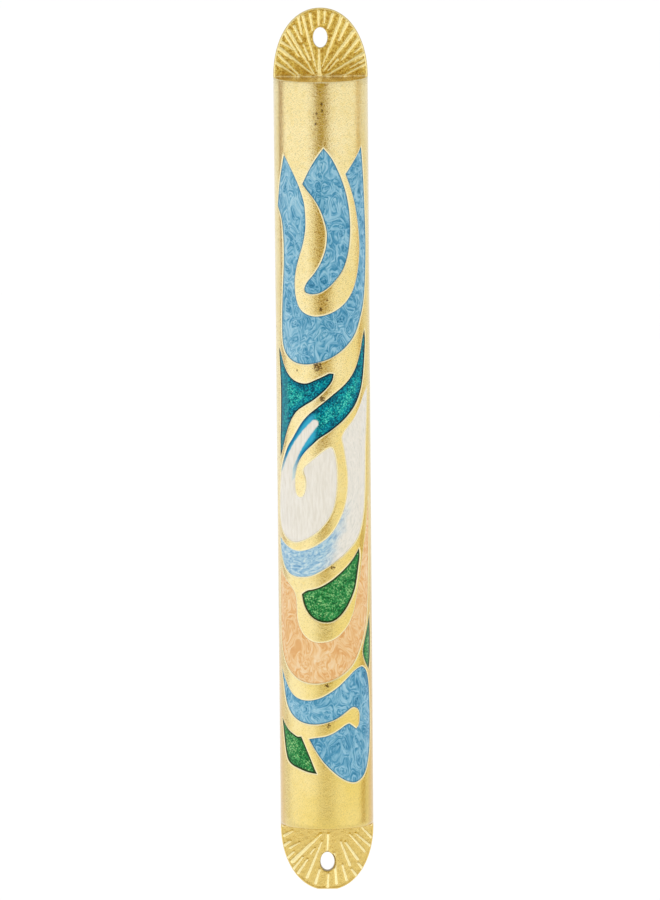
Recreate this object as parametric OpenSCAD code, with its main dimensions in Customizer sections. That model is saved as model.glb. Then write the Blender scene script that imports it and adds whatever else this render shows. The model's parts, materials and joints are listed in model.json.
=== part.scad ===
/* [Case] */
// Width of the case across the door post
case_w = 20; // [20:0.5:24]
// Height of the arched body between its two end walls
body_h = 161; // [160:1:170]
// Depth of the straight side walls behind the arch
side_d = 2.4; // [2.4:0.1:4]
// How far each end face leans back toward the crown of the arch
end_draft = 0.7; // [0.4:0.1:1]
// Thickness of the metal around the scroll chamber
wall = 2; // [1.8:0.1:2.2]

/* [End tabs] */
// How far each tab stands past the body
tab_h = 14.5; // [14:0.5:18]
// Thickness of the plain tab plate
tab_t = 2.1; // [2:0.1:2.3]
// Height of the sunburst ridges above the plate
ray_t = 0.5; // [0.3:0.1:0.7]
// Distance between the centres of the two screw slots
hole_spacing = 177.5; // [177:0.5:179]
// Width of each screw slot
hole_w = 3; // [2.8:0.1:3.4]
// Length of each screw slot
hole_h = 4.2; // [3.8:0.1:5.2]

/* [Enamel] */
// Depth of the cells sunk in the front for the enamel
cell_depth = 0.9; // [0.6:0.1:1]
// How far the enamel lies below the gold bands
enamel_drop = 0.2; // [0.1:0.05:0.4]

/* [Back] */
// Width of the cover at its wide, inner side
cover_w = 12.4; // [12:0.1:12.6]
// Thickness of the cover
cover_t = 1.05; // [1:0.05:1.1]
// Running clearance around the cover
cover_gap = 0.1; // [0.08:0.01:0.15]

/* [Scroll] */
// Height of the rolled parchment
scroll_h = 120; // [100:5:120]
// Diameter of the rolled parchment
scroll_dia = 7.6; // [6.6:0.2:7.8]
// Thickness of the clear sleeve
sleeve_t = 0.3; // [0.2:0.1:0.4]

/* [Hidden] */
arch_r = case_w / 2;
cell_r = arch_r - cell_depth;
enamel_r = arch_r - enamel_drop;
chamber_r = arch_r - wall;
body_z = body_h / 2;
end_wall = 3;
chamber_z = body_z - end_wall;
floor_z = -chamber_z - 1;
lip_d = 2.2;
opening_w = cover_w - 2;
slot_d = cover_t + 2 * cover_gap;
hole_z = hole_spacing / 2;
// The parchment lies midway between the cover and the crown of the chamber
scroll_y = -(slot_d + side_d + chamber_r) / 2;
sleeve_gap = 0.1;
steps = 4;
$fn = 96;

// Cell outlines lie on the unrolled arch: first the distance round the arch from its crown, then the height.
// Each outline is a list of smooth runs that meet at corners.
blue_cup = [
    [[10.2, 66], [11, 59.5], [11.6, 52.5], [12, 46.5], [11.9, 42], [11.4, 37], [10.6, 33], [9.4, 30],
     [7.6, 26.5], [5, 23.8], [1.8, 21.7], [-1.2, 20.7], [-3.8, 20.3], [-6.2, 20.6], [-8.2, 21.6],
     [-9.8, 23.4], [-10.5, 26], [-10.5, 30.5], [-10.1, 36], [-9.6, 42], [-9.7, 47], [-10.4, 51]],
    [[-12.2, 53.6], [-11.2, 58], [-10, 62]],
    [[-9.2, 64.4], [-7.7, 62.5], [-6, 59.8], [-4.8, 57.3], [-3.9, 54.6], [-3.6, 52], [-3.6, 49],
     [-4.2, 45.8], [-5.2, 42.8], [-6, 40], [-6.3, 37.5], [-6.1, 34.8], [-5.3, 32.5], [-3.8, 31.1],
     [-1.6, 30.5], [1, 30.9], [3.4, 32], [5.6, 33.8], [7.4, 36.4], [8.6, 39.8], [9.2, 43.4],
     [9.2, 46.6], [8.7, 50.3], [7.8, 54.2], [6.6, 57.6]],
    [[5.4, 60.4]]
];
blue_comma = [
    [[0.5, 65.9], [-0.9, 64.1], [-2.4, 61.8]],
    [[-4.2, 58.4], [-3.1, 57], [-1.7, 55.3], [-0.5, 53.3], [0.4, 51], [1, 48.5], [1, 46.4], [0.6, 44.2],
     [-0.4, 41.7], [-1.8, 39.5], [-3.2, 37.9], [-3.9, 36.6], [-3.8, 35.7], [-3, 35.3], [-1.9, 35.2],
     [-0.5, 35.5], [1.2, 36.5], [3, 38.2], [4.6, 40.3], [5.7, 43], [6.3, 46], [6.5, 49], [6.3, 52.3],
     [5.7, 55.6], [4.8, 58.4], [3.6, 61.2], [2.2, 63.8]]
];
teal_leaf = [
    [[-12.3, 23.6], [-11.1, 22.2], [-10.1, 20.3], [-8.8, 18.4], [-7.2, 17.1], [-5.4, 16.4], [-3.6, 16.3],
     [-1.8, 17], [0, 17.8], [1.3, 18.4]],
    [[2.3, 18.3], [2, 16.9], [1.1, 15.6], [-0.2, 14.3], [-2.2, 12.7], [-4.2, 11.5], [-6, 10.3],
     [-7.3, 8.8], [-8.4, 7], [-9.3, 5.2], [-10.1, 3.3], [-11, 1.4]],
    [[-12, 0], [-11.9, 4], [-11.5, 9.5], [-11.4, 14.5], [-11.7, 18.7]]
];
teal_swirl = [
    [[11, 27.3], [10.1, 25.4], [9.5, 23.4], [8.6, 21.1], [7.5, 19], [6, 17.1], [4.1, 15.4], [2.1, 13.9],
     [0.2, 12.4], [-1.6, 11], [-3.3, 9.6], [-4.8, 8], [-6.2, 6], [-7.4, 4.3], [-8.7, 2.7], [-10.1, 0.3],
     [-11.5, -2.5], [-12.3, -5.5], [-12.7, -9], [-12.7, -12.2], [-12, -14.6], [-10.5, -16.3],
     [-8.6, -17.4], [-6.5, -17.7], [-4.3, -17], [-1.9, -15.6], [-0.1, -13.8], [1.2, -12], [2.1, -9.8],
     [2.6, -7.1], [2.8, -4.1], [2.7, -1], [2.3, 1.3], [1.6, 2.6], [0.2, 2], [-1.5, 0.7], [-3.1, -0.6],
     [-4.3, -1.7], [-4.5, -2.6], [-4.1, -3.7], [-3.9, -5], [-4.1, -6.6], [-4.6, -7.7], [-5.4, -8.1],
     [-6.3, -7.6], [-6.7, -6.2], [-6.7, -4], [-6.3, -2], [-5.5, -0.2], [-4.2, 1.6], [-2.6, 3.1],
     [-0.9, 4.6], [1.3, 6], [4, 8], [5.8, 9.6], [7.4, 11.3], [8.7, 13.3], [9.8, 15.8], [10.5, 18.8],
     [11, 22], [11.3, 25]]
];
pale_crescent = [
    [[12.2, 15], [10.4, 13.2], [8.9, 10.9], [7.3, 8.7], [5.7, 7], [4.6, 5.8], [4.1, 4.5], [4.5, 2.6],
     [4.9, 0.2], [5.3, -2.4], [5.4, -5.3], [5.1, -8.1], [4.5, -10.4], [3.7, -12.3], [2.6, -14.3],
     [1.2, -16.1], [-0.5, -17.5], [-2.7, -18.8], [-5, -19.5], [-7.2, -19.5], [-9.4, -18.8], [-11.3, -17.9]],
    [[-12.6, -17.1], [-12.2, -19.5], [-11.4, -21.6], [-10.2, -23.4], [-8.6, -24.6], [-6.8, -25.1],
     [-4.8, -25.1], [-2.8, -24.7], [-0.6, -23.6], [1.5, -22.3], [3.5, -20.9], [5.1, -19.6], [6.7, -18.2],
     [7.8, -17], [8.7, -15.5], [9.5, -13.4], [10.1, -11], [10.5, -7.8], [10.8, -2.7], [11, 2.5], [11.7, 9]]
];
green_leaf = [
    [[8.3, -19.3], [6.9, -21], [5.2, -22.7], [3.2, -24.4], [1.2, -25.9], [-0.9, -27.1], [-2.7, -27.7],
     [-4, -28]],
    [[-5.2, -28.8], [-4.9, -30.4], [-4.3, -31.9], [-3.2, -33.4], [-1.7, -34.4], [0, -34.8], [1.6, -34.6],
     [3.1, -33.7], [4.6, -32.1], [5.9, -30.1], [7, -27.9], [7.6, -25.6], [8.1, -23.1], [8.5, -21]]
];
peach_cup = [
    [[-12.2, -23.7], [-10.8, -25.4], [-9.1, -26.7], [-7.6, -28], [-6.8, -29.5], [-6.6, -31.7],
     [-6.5, -33.7], [-6, -35.7], [-5, -37.4], [-3.7, -38.5], [-2.1, -39.1], [-0.4, -39.1], [1.4, -38.7],
     [3.1, -37.7], [4.7, -36.2], [5.9, -34.4], [6.8, -32.4], [7.4, -30.1], [8, -27.7], [8.6, -25.3],
     [9.2, -22.7], [10, -19.2], [11, -15.4]],
    [[12.3, -8.8], [12.6, -13], [12.2, -20], [11.8, -27], [11.4, -31.5], [10.8, -35], [10, -37.5],
     [8.9, -39.8], [7.8, -41.8], [6.8, -43.4], [5.7, -44.6], [4.3, -45.7], [2.6, -46.7], [0.7, -47.5],
     [-1.5, -47.9], [-3.6, -47.9], [-5.7, -47.4], [-7.7, -46.4], [-9.4, -45], [-10.8, -43.2],
     [-11.9, -40.8], [-12.4, -37.5], [-12.5, -33.2], [-12.5, -28.2]]
];
green_edge = [
    [[12.6, -33.8], [11.5, -36], [10.5, -38.3], [9.6, -40.5], [9.4, -42.2], [10.2, -44]],
    [[11.8, -45.9], [12.6, -43.5], [12.9, -39.5]]
];
blue_wave = [
    [[-12.4, -45.3], [-11.6, -46.4], [-10.4, -48], [-9.1, -49.6], [-7.7, -50.8], [-6.1, -51.5],
     [-4.4, -51.7], [-2.6, -51.5], [-0.8, -50.9], [1, -49.9], [2.9, -48.6], [4.7, -47.1], [6.3, -45.8],
     [7.7, -45.1], [9, -44.9], [10.3, -45.7], [11.2, -47.1], [11.9, -49.6], [12.2, -53], [12.4, -56.5],
     [12.3, -60], [11.9, -63.3], [11, -66], [9.9, -67.9], [8.5, -69.1], [6.8, -69.7], [5, -69.4],
     [3.1, -68.4], [1.4, -67], [-0.3, -65.3], [-1.6, -63.6], [-2.9, -61.6]],
    [[-3.8, -60], [-2.2, -59.7], [-0.3, -59.4], [1.4, -58.8], [3, -57.9], [4.3, -57.1]],
    [[5.2, -56.8], [6.1, -57.4]],
    [[7, -58.1], [7.8, -57.4], [8.1, -56], [8, -54.6], [7.3, -53.7], [6.1, -53.4], [4.9, -54],
     [3.4, -55], [1.7, -55.9], [-0.2, -56.5], [-2.2, -56.8], [-4.4, -56.7], [-6.5, -56.1], [-8.4, -54.9],
     [-9.8, -53.2], [-10.7, -51.1], [-11.3, -48.8], [-12, -46.8]]
];
green_corner = [
    [[-12.5, -56.3], [-11, -57.4], [-9.5, -58.5], [-7.8, -59.3], [-6.7, -59.7]],
    [[-5.7, -59.6], [-5.1, -60.8], [-4.3, -62.5], [-3.4, -64.5], [-2.7, -66.2]],
    [[-2.1, -67.5], [-4.2, -67.2], [-6.4, -66.6], [-8.4, -66], [-9.8, -65.1], [-10.6, -63.5],
     [-11.2, -61.2], [-11.9, -58.3]]
];
CELLS = [
    blue_cup, blue_comma, teal_leaf, teal_swirl, pale_crescent,
    green_leaf, peach_cup, green_edge, blue_wave, green_corner
];

// Catmull-Rom curve between b and c
function curve_point(a, b, c, d, t) =
    0.5 * (2 * b + (c - a) * t + (2 * a - 5 * b + 4 * c - d) * t * t + (3 * b - a - 3 * c + d) * t * t * t);

function smooth_run(p) = [
    for (i = [0 : len(p) - 2], k = [0 : steps - 1])
        curve_point(p[max(i - 1, 0)], p[i], p[i + 1], p[min(i + 2, len(p) - 1)], k / steps)
];

function closed_outline(runs) = [
    for (i = [0 : len(runs) - 1])
        each smooth_run(concat(runs[i], [runs[(i + 1) % len(runs)][0]]))
];

// Rolls a flat outline round the arch and looks at it from the front
function rolled(points) = [for (p = points) [arch_r * sin(p[0] / arch_r * 180 / PI), p[1]]];

// Solid under an arch of the given radius, from the back plane to the crown
module arch_prism(radius, height) {
    translate([0, 0, -height / 2]) {
        difference() {
            translate([0, -side_d, 0])
                cylinder(r = radius, h = height);
            translate([-radius - 1, -side_d, -1])
                cube([2 * radius + 2, radius + 1, height + 2]);
        }
        translate([-radius, -side_d, 0])
            cube([2 * radius, side_d, height]);
    }
}

// The part of the arched skin between two radii that one cell outline covers
module cell_solid(runs, inner_r, outer_r) {
    intersection() {
        difference() {
            arch_prism(outer_r, body_h - 10);
            arch_prism(inner_r, body_h);
        }
        translate([0, -side_d, 0])
            rotate([90, 0, 0])
                linear_extrude(height = arch_r + 2)
                    polygon(rolled(closed_outline(runs)));
    }
}

module slot_hole() {
    slot_reach = (hole_h - hole_w) / 2;
    rotate([90, 0, 0]) {
        for (side = [-1, 1])
            translate([0, side * slot_reach, -1])
                cylinder(d = hole_w, h = tab_t + ray_t + 2);
        translate([-hole_w / 2, -slot_reach, -1])
            cube([hole_w, 2 * slot_reach, tab_t + ray_t + 2]);
    }
}

// One raised ray of the sunburst, from the inner radius out to the rim of the tab
module ray(angle) {
    reach = tab_reach(angle) - 0.8;
    start = 3.2;
    half_end = 0.42;
    rotate([90, 0, 0])
        rotate([0, 0, angle])
            linear_extrude(height = tab_t + ray_t)
                polygon([[start, -0.15], [reach, -half_end], [reach, half_end], [start, 0.15]]);
}

// Distance from the middle of the tab's root to its rim in one direction
function tab_reach(angle) = 1 / sqrt(pow(cos(angle) / arch_r, 2) + pow(sin(angle) / tab_h, 2));

// Half-oval tab that stands up from z = 0
module tab() {
    rim_w = 0.7;
    difference() {
        union() {
            rotate([90, 0, 0])
                linear_extrude(height = tab_t)
                    half_oval(0);
            rotate([90, 0, 0])
                linear_extrude(height = tab_t + ray_t / 2)
                    difference() {
                        half_oval(0);
                        half_oval(rim_w);
                    }
            for (angle = [12 : 12 : 168])
                ray(angle);
        }
        translate([0, 0, hole_z - body_z])
            slot_hole();
    }
}

// Outline of a tab, drawn a little into the body so that the two join
module half_oval(inset) {
    arc_points = 40;
    root = -0.1;
    polygon(concat(
        [[arch_r - inset, root], [-arch_r + inset, root]],
        [for (i = [arc_points : -1 : 0])
            let (a = 180 * i / arc_points)
            [(arch_r - inset) * cos(a), (tab_h - inset) * sin(a)]]
    ));
}

// Dovetail profile, widest at its inner face, standing from z = 0
module dovetail(inner_w, depth, height) {
    linear_extrude(height = height)
        polygon([
            [-inner_w / 2, -depth], [inner_w / 2, -depth],
            [inner_w / 2 - depth / 2, 0], [-inner_w / 2 + depth / 2, 0]
        ]);
}

module chamber() {
    translate([0, 0, (chamber_z + floor_z) / 2])
        difference() {
            arch_prism(chamber_r, chamber_z - floor_z);
            translate([-arch_r, -lip_d, -body_h / 2])
                cube([case_w, lip_d + 1, body_h]);
        }
    translate([-opening_w / 2, -lip_d - 0.1, floor_z])
        cube([opening_w, lip_d + 1, chamber_z - floor_z]);
}

// Cuts the slope of the top end face, in front of the tab
module end_cut() {
    translate([0, -tab_t - ray_t, body_z])
        rotate([atan(end_draft / arch_r), 0, 0])
            translate([-case_w, -case_w, 0])
                cube([2 * case_w, case_w, 10]);
}

module front_shell() {
    color("gold")
        difference() {
            union() {
                difference() {
                    arch_prism(arch_r, body_h);
                    end_cut();
                    mirror([0, 0, 1])
                        end_cut();
                }
                translate([0, 0, body_z])
                    tab();
                mirror([0, 0, 1])
                    translate([0, 0, body_z])
                        tab();
            }
            chamber();
            translate([0, 0, floor_z])
                dovetail(cover_w + 2 * cover_gap, slot_d, body_h + tab_h * 2);
            for (runs = CELLS)
                cell_solid(runs, cell_r, arch_r + 1);
        }
}

module rear_cover() {
    grip_count = 5;
    grip_pitch = 2;
    grip_r = 0.5;
    color("goldenrod")
        difference() {
            translate([0, -cover_gap, floor_z])
                dovetail(cover_w, cover_t, body_z - floor_z);
            for (i = [0 : grip_count - 1])
                translate([-3.5, 0, floor_z + 8 + i * grip_pitch])
                    rotate([0, 90, 0])
                        cylinder(r = grip_r, h = 7);
        }
}

module scroll() {
    core_r = 1.4;
    color("wheat")
        translate([0, scroll_y, floor_z + 1])
            difference() {
                cylinder(d = scroll_dia, h = scroll_h);
                translate([0, 0, -1])
                    cylinder(r = core_r, h = scroll_h + 2);
            }
}

module scroll_sleeve() {
    inner_d = scroll_dia + 2 * sleeve_gap;
    color("azure", 0.4)
        translate([0, scroll_y, floor_z])
            difference() {
                cylinder(d = inner_d + 2 * sleeve_t, h = scroll_h + 2);
                translate([0, 0, 1])
                    cylinder(d = inner_d, h = scroll_h + 2);
            }
}

module enamel(runs, paint) {
    color(paint)
        cell_solid(runs, cell_r, enamel_r);
}

front_shell();
rear_cover();
scroll();
scroll_sleeve();
enamel(blue_cup, "skyblue");  // enamel_blue_cup
enamel(blue_comma, "steelblue");  // enamel_blue_comma
enamel(teal_leaf, "teal");  // enamel_teal_leaf
enamel(teal_swirl, "darkcyan");  // enamel_teal_swirl
enamel(pale_crescent, "lightblue");  // enamel_pale_crescent
enamel(green_leaf, "seagreen");  // enamel_green_leaf
enamel(peach_cup, "sandybrown");  // enamel_peach_cup
enamel(green_edge, "seagreen");  // enamel_green_edge
enamel(blue_wave, "cornflowerblue");  // enamel_blue_wave
enamel(green_corner, "forestgreen");  // enamel_green_corner
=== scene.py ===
import json
from functools import partialmethod
from math import acos, cos, hypot, pi, radians, sin

import bpy
import numpy as np
from mathutils import Matrix, Vector
from mathutils.geometry import delaunay_2d_cdt
from mathutils.kdtree import KDTree


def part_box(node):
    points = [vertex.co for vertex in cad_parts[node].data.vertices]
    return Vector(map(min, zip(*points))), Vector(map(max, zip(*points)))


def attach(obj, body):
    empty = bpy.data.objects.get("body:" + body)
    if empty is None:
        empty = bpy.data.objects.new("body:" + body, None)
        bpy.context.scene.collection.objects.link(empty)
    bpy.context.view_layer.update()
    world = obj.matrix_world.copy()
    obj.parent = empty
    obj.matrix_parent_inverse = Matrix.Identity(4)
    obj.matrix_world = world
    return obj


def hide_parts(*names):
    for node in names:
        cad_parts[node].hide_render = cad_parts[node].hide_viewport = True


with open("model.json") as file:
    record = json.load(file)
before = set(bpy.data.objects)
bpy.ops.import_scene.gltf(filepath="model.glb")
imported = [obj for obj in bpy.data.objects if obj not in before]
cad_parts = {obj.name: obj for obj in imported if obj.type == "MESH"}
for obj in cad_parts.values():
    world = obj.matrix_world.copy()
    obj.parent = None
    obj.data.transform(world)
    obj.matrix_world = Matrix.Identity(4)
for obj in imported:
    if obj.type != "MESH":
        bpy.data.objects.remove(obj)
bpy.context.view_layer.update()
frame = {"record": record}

MM = 0.001


def box_mm(node):
    lo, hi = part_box(node)
    return [v / MM for v in lo], [v / MM for v in hi]


# ---- sizes, in millimetres
shell_lo, shell_hi = box_mm("front_shell")
cover_lo, cover_hi = box_mm("rear_cover")
scroll_lo, scroll_hi = box_mm("scroll")
sleeve_lo, sleeve_hi = box_mm("scroll_sleeve")
ARCH_R = (shell_hi[0] - shell_lo[0]) / 2
SIDE_D = -shell_lo[1] - ARCH_R
BODY_Z = cover_hi[2]
FLOOR_Z = cover_lo[2]
TAB_H = shell_hi[2] - BODY_Z
TAB_T, RIDGE_H = 2.1, 0.5
WALL, END_WALL, LIP_D = 2, 3, 2.2
CHAMBER_R = ARCH_R - WALL
CHAMBER_TOP = BODY_Z - END_WALL
HOLES = frame["record"]["mounts"][0]["dims"]
HOLE_Z, HOLE_R, HOLE_H = HOLES["spacing_y_mm"] / 2, HOLES["hole_r_mm"], HOLES["slot_length_mm"]
CELL_DEPTH, ENAMEL_DROP = 0.9, 0.2
ARCH_S = ARCH_R * pi / 2
rng = np.random.default_rng(7)

# ---- enamel cells
# Outlines on the unrolled arch, as in the CAD source: each is a list of smooth runs that meet at corners,
# and a run gives the distance round the arch from its crown and the height of each point in turn.
CELLS = {
    "enamel_blue_cup": [
        [10.2, 66, 11, 59.5, 11.6, 52.5, 12, 46.5, 11.9, 42, 11.4, 37, 10.6, 33, 9.4, 30, 7.6, 26.5, 5, 23.8,
         1.8, 21.7, -1.2, 20.7, -3.8, 20.3, -6.2, 20.6, -8.2, 21.6, -9.8, 23.4, -10.5, 26, -10.5, 30.5,
         -10.1, 36, -9.6, 42, -9.7, 47, -10.4, 51],
        [-12.2, 53.6, -11.2, 58, -10, 62],
        [-9.2, 64.4, -7.7, 62.5, -6, 59.8, -4.8, 57.3, -3.9, 54.6, -3.6, 52, -3.6, 49, -4.2, 45.8, -5.2, 42.8,
         -6, 40, -6.3, 37.5, -6.1, 34.8, -5.3, 32.5, -3.8, 31.1, -1.6, 30.5, 1, 30.9, 3.4, 32, 5.6, 33.8,
         7.4, 36.4, 8.6, 39.8, 9.2, 43.4, 9.2, 46.6, 8.7, 50.3, 7.8, 54.2, 6.6, 57.6],
        [5.4, 60.4]],
    "enamel_blue_comma": [
        [0.5, 65.9, -0.9, 64.1, -2.4, 61.8],
        [-4.2, 58.4, -3.1, 57, -1.7, 55.3, -0.5, 53.3, 0.4, 51, 1, 48.5, 1, 46.4, 0.6, 44.2, -0.4, 41.7,
         -1.8, 39.5, -3.2, 37.9, -3.9, 36.6, -3.8, 35.7, -3, 35.3, -1.9, 35.2, -0.5, 35.5, 1.2, 36.5, 3, 38.2,
         4.6, 40.3, 5.7, 43, 6.3, 46, 6.5, 49, 6.3, 52.3, 5.7, 55.6, 4.8, 58.4, 3.6, 61.2, 2.2, 63.8]],
    "enamel_teal_leaf": [
        [-12.3, 23.6, -11.1, 22.2, -10.1, 20.3, -8.8, 18.4, -7.2, 17.1, -5.4, 16.4, -3.6, 16.3, -1.8, 17,
         0, 17.8, 1.3, 18.4],
        [2.3, 18.3, 2, 16.9, 1.1, 15.6, -0.2, 14.3, -2.2, 12.7, -4.2, 11.5, -6, 10.3, -7.3, 8.8, -8.4, 7,
         -9.3, 5.2, -10.1, 3.3, -11, 1.4],
        [-12, 0, -11.9, 4, -11.5, 9.5, -11.4, 14.5, -11.7, 18.7]],
    "enamel_teal_swirl": [
        [11, 27.3, 10.1, 25.4, 9.5, 23.4, 8.6, 21.1, 7.5, 19, 6, 17.1, 4.1, 15.4, 2.1, 13.9, 0.2, 12.4,
         -1.6, 11, -3.3, 9.6, -4.8, 8, -6.2, 6, -7.4, 4.3, -8.7, 2.7, -10.1, 0.3, -11.5, -2.5, -12.3, -5.5,
         -12.7, -9, -12.7, -12.2, -12, -14.6, -10.5, -16.3, -8.6, -17.4, -6.5, -17.7, -4.3, -17, -1.9, -15.6,
         -0.1, -13.8, 1.2, -12, 2.1, -9.8, 2.6, -7.1, 2.8, -4.1, 2.7, -1, 2.3, 1.3, 1.6, 2.6, 0.2, 2,
         -1.5, 0.7, -3.1, -0.6, -4.3, -1.7, -4.5, -2.6, -4.1, -3.7, -3.9, -5, -4.1, -6.6, -4.6, -7.7,
         -5.4, -8.1, -6.3, -7.6, -6.7, -6.2, -6.7, -4, -6.3, -2, -5.5, -0.2, -4.2, 1.6, -2.6, 3.1, -0.9, 4.6,
         1.3, 6, 4, 8, 5.8, 9.6, 7.4, 11.3, 8.7, 13.3, 9.8, 15.8, 10.5, 18.8, 11, 22, 11.3, 25]],
    "enamel_pale_crescent": [
        [12.2, 15, 10.4, 13.2, 8.9, 10.9, 7.3, 8.7, 5.7, 7, 4.6, 5.8, 4.1, 4.5, 4.5, 2.6, 4.9, 0.2, 5.3, -2.4,
         5.4, -5.3, 5.1, -8.1, 4.5, -10.4, 3.7, -12.3, 2.6, -14.3, 1.2, -16.1, -0.5, -17.5, -2.7, -18.8,
         -5, -19.5, -7.2, -19.5, -9.4, -18.8, -11.3, -17.9],
        [-12.6, -17.1, -12.2, -19.5, -11.4, -21.6, -10.2, -23.4, -8.6, -24.6, -6.8, -25.1, -4.8, -25.1,
         -2.8, -24.7, -0.6, -23.6, 1.5, -22.3, 3.5, -20.9, 5.1, -19.6, 6.7, -18.2, 7.8, -17, 8.7, -15.5,
         9.5, -13.4, 10.1, -11, 10.5, -7.8, 10.8, -2.7, 11, 2.5, 11.7, 9]],
    "enamel_green_leaf": [
        [8.3, -19.3, 6.9, -21, 5.2, -22.7, 3.2, -24.4, 1.2, -25.9, -0.9, -27.1, -2.7, -27.7, -4, -28],
        [-5.2, -28.8, -4.9, -30.4, -4.3, -31.9, -3.2, -33.4, -1.7, -34.4, 0, -34.8, 1.6, -34.6, 3.1, -33.7,
         4.6, -32.1, 5.9, -30.1, 7, -27.9, 7.6, -25.6, 8.1, -23.1, 8.5, -21]],
    "enamel_peach_cup": [
        [-12.2, -23.7, -10.8, -25.4, -9.1, -26.7, -7.6, -28, -6.8, -29.5, -6.6, -31.7, -6.5, -33.7, -6, -35.7,
         -5, -37.4, -3.7, -38.5, -2.1, -39.1, -0.4, -39.1, 1.4, -38.7, 3.1, -37.7, 4.7, -36.2, 5.9, -34.4,
         6.8, -32.4, 7.4, -30.1, 8, -27.7, 8.6, -25.3, 9.2, -22.7, 10, -19.2, 11, -15.4],
        [12.3, -8.8, 12.6, -13, 12.2, -20, 11.8, -27, 11.4, -31.5, 10.8, -35, 10, -37.5, 8.9, -39.8,
         7.8, -41.8, 6.8, -43.4, 5.7, -44.6, 4.3, -45.7, 2.6, -46.7, 0.7, -47.5, -1.5, -47.9, -3.6, -47.9,
         -5.7, -47.4, -7.7, -46.4, -9.4, -45, -10.8, -43.2, -11.9, -40.8, -12.4, -37.5, -12.5, -33.2,
         -12.5, -28.2]],
    "enamel_green_edge": [
        [12.6, -33.8, 11.5, -36, 10.5, -38.3, 9.6, -40.5, 9.4, -42.2, 10.2, -44],
        [11.8, -45.9, 12.6, -43.5, 12.9, -39.5]],
    "enamel_blue_wave": [
        [-12.4, -45.3, -11.6, -46.4, -10.4, -48, -9.1, -49.6, -7.7, -50.8, -6.1, -51.5, -4.4, -51.7,
         -2.6, -51.5, -0.8, -50.9, 1, -49.9, 2.9, -48.6, 4.7, -47.1, 6.3, -45.8, 7.7, -45.1, 9, -44.9,
         10.3, -45.7, 11.2, -47.1, 11.9, -49.6, 12.2, -53, 12.4, -56.5, 12.3, -60, 11.9, -63.3, 11, -66,
         9.9, -67.9, 8.5, -69.1, 6.8, -69.7, 5, -69.4, 3.1, -68.4, 1.4, -67, -0.3, -65.3, -1.6, -63.6,
         -2.9, -61.6],
        [-3.8, -60, -2.2, -59.7, -0.3, -59.4, 1.4, -58.8, 3, -57.9, 4.3, -57.1],
        [5.2, -56.8, 6.1, -57.4],
        [7, -58.1, 7.8, -57.4, 8.1, -56, 8, -54.6, 7.3, -53.7, 6.1, -53.4, 4.9, -54, 3.4, -55, 1.7, -55.9,
         -0.2, -56.5, -2.2, -56.8, -4.4, -56.7, -6.5, -56.1, -8.4, -54.9, -9.8, -53.2, -10.7, -51.1,
         -11.3, -48.8, -12, -46.8]],
    "enamel_green_corner": [
        [-12.5, -56.3, -11, -57.4, -9.5, -58.5, -7.8, -59.3, -6.7, -59.7],
        [-5.7, -59.6, -5.1, -60.8, -4.3, -62.5, -3.4, -64.5, -2.7, -66.2],
        [-2.1, -67.5, -4.2, -67.2, -6.4, -66.6, -8.4, -66, -9.8, -65.1, -10.6, -63.5, -11.2, -61.2,
         -11.9, -58.3]],
}

# Raised rays of the two end tabs: x and distance from the tab's root at both ends, then the half-width
# at both ends.
TOP_RAYS = [
    (-0.2, -0.6, -0.3, 5.8, 0.5, 0.16), (-0.3, 10.8, -0.3, 13.7, 0.2, 0.3),
    (0.9, 11.3, 1.05, 13.7, 0.15, 0.25), (1.7, 10.2, 2.7, 13.1, 0.2, 0.34),
    (0.4, 2.1, 4.5, 12.4, 0.14, 0.42), (4, 7.6, 5.7, 11.3, 0.22, 0.42), (0.7, 1.1, 7.1, 9.4, 0.16, 0.48),
    (4.5, 3.4, 8.1, 7.9, 0.18, 0.4), (7.3, 5, 9, 6.5, 0.14, 0.3), (1.1, 0, 9.3, 4.8, 0.16, 0.48),
    (6.3, 1.8, 9.4, 3.5, 0.14, 0.32), (4.8, 0, 9.4, 2.4, 0.14, 0.3), (1.7, 1.3, 3.7, 3.5, 0.14, 0.28),
    (-1.6, 9.7, -2.1, 13.2, 0.18, 0.3), (-0.8, 1.1, -3.6, 12.7, 0.14, 0.32),
    (-3.9, 9, -4.6, 12.6, 0.22, 0.3), (-4, 7.4, -5.5, 10.6, 0.22, 0.3), (-2.2, 3.5, -3.5, 6.6, 0.26, 0.18),
    (-1.4, 0.5, -6.7, 9.7, 0.16, 0.4), (-4.5, 4.2, -7.4, 9, 0.16, 0.34), (-5.5, 5.6, -8.3, 7.4, 0.16, 0.34),
    (-1.7, 0.5, -8.7, 6, 0.16, 0.48), (-4.4, 0, -8.9, 4.7, 0.2, 0.3), (-5.4, 0.3, -9.3, 2.9, 0.16, 0.34),
]
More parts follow.
